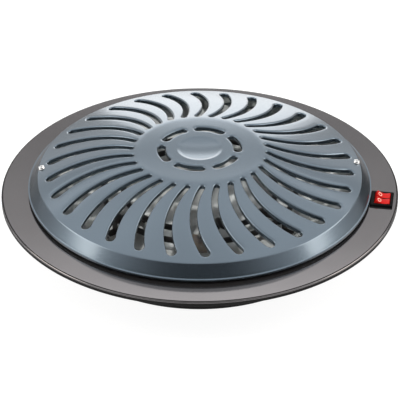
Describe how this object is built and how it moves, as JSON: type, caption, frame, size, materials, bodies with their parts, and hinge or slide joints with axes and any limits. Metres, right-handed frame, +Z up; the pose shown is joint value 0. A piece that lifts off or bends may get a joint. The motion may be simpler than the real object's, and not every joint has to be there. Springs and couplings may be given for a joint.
{
  "type": "round electric grill heater",
  "caption": "Round electric grill heater (brazier): domed slotted guard over two ring elements in a dished body with a wide rim and a twin rocker switch.",
  "frame": {"origin": "centre of the bounding box at the plane the feet stand on", "axes": "+Z up along the heater's axis, -Y towards the viewer of the picture, +X towards the switch"},
  "size_m": [0.44, 0.44, 0.1048],
  "materials": {
    "slate": "slate-blue satin enamel on aluminium",
    "taupe": "brown-grey satin paint",
    "black_paint": "near-black satin paint",
    "galvanised": "bright galvanised sheet with spangles",
    "chrome": "bright plated",
    "zinc": "zinc plated",
    "burnt_steel": "dark heat-burnt steel",
    "sheath": "dark oxidised element sheath",
    "heat_tint": "steel tinted by heat",
    "ceramic": "unglazed steatite ceramic",
    "bakelite": "dark brown phenolic moulding",
    "black_plastic": "black moulded plastic",
    "red_plastic": "translucent red plastic",
    "rubber": "black rubber",
    "brass": "plain brass",
    "brown_wire": "brown wire insulation",
    "blue_wire": "blue wire insulation",
    "green_wire": "green and yellow wire insulation"
  },
  "bodies": {
    "heater": {"rim_ring": "taupe", "body_bowl": "black_paint", "reflector_dish": "galvanised", "guard_grille": "slate", "guard_screw_left": "chrome", "guard_screw_right": "chrome", "outer_element": "sheath", "inner_element": "sheath", "cutout_plate": "heat_tint", "thermal_cutout": "bakelite", "cutout_screw": "zinc", "switch_body": "black_plastic", "switch_cover": "black_plastic", "cover_screw_1": "zinc", "cover_screw_2": "zinc", "wire_grommet": "rubber", "cord_gland": "black_plastic", "gland_nut": "black_plastic", "terminal_block": "ceramic", "earth_stud": "brass", "wire_neutral_outer": "blue_wire", "wire_neutral_inner": "blue_wire", "wire_neutral_lamps": "blue_wire", "wire_supply": "brown_wire", "wire_live_inner": "brown_wire", "wire_live_outer": "brown_wire", "wire_live_switch": "brown_wire", "wire_earth": "green_wire", "foot_1": "rubber", "element_pin_1": "zinc", "element_bush_1": "ceramic", "switch_tab_1": "brass", "foot_2": "rubber", "element_pin_2": "zinc", "element_bush_2": "ceramic", "switch_tab_2": "brass", "foot_3": "rubber", "element_pin_3": "zinc", "element_bush_3": "ceramic", "switch_tab_3": "brass", "foot_4": "rubber", "element_pin_4": "zinc", "element_bush_4": "ceramic", "switch_tab_4": "brass", "guard_bracket_left": "zinc", "guard_rivet_left": "zinc", "guard_bracket_right": "zinc", "guard_rivet_right": "zinc", "guard_bracket_front": "zinc", "guard_rivet_front": "zinc", "guard_bracket_back": "zinc", "guard_rivet_back": "zinc", "element_bracket_1": "burnt_steel", "element_bracket_screw_1": "zinc", "element_bracket_2": "burnt_steel", "element_bracket_screw_2": "zinc", "element_bracket_3": "burnt_steel", "element_bracket_screw_3": "zinc"},
    "front_rocker": {"rocker_front": "red_plastic"},
    "back_rocker": {"rocker_back": "red_plastic"}
  },
  "joints": [
    {"name": "front_rocker_tilt", "type": "hinge", "parent": "heater", "child": "front_rocker", "pos_m": [0.19901, -0.04023, 0.0574], "axis": [-0.1702, -0.9854, 0], "range_deg": [0, 20]},
    {"name": "back_rocker_tilt", "type": "hinge", "parent": "heater", "child": "back_rocker", "pos_m": [0.20097, -0.02885, 0.0574], "axis": [-0.1702, -0.9854, 0], "range_deg": [0, 20]}
  ]
}
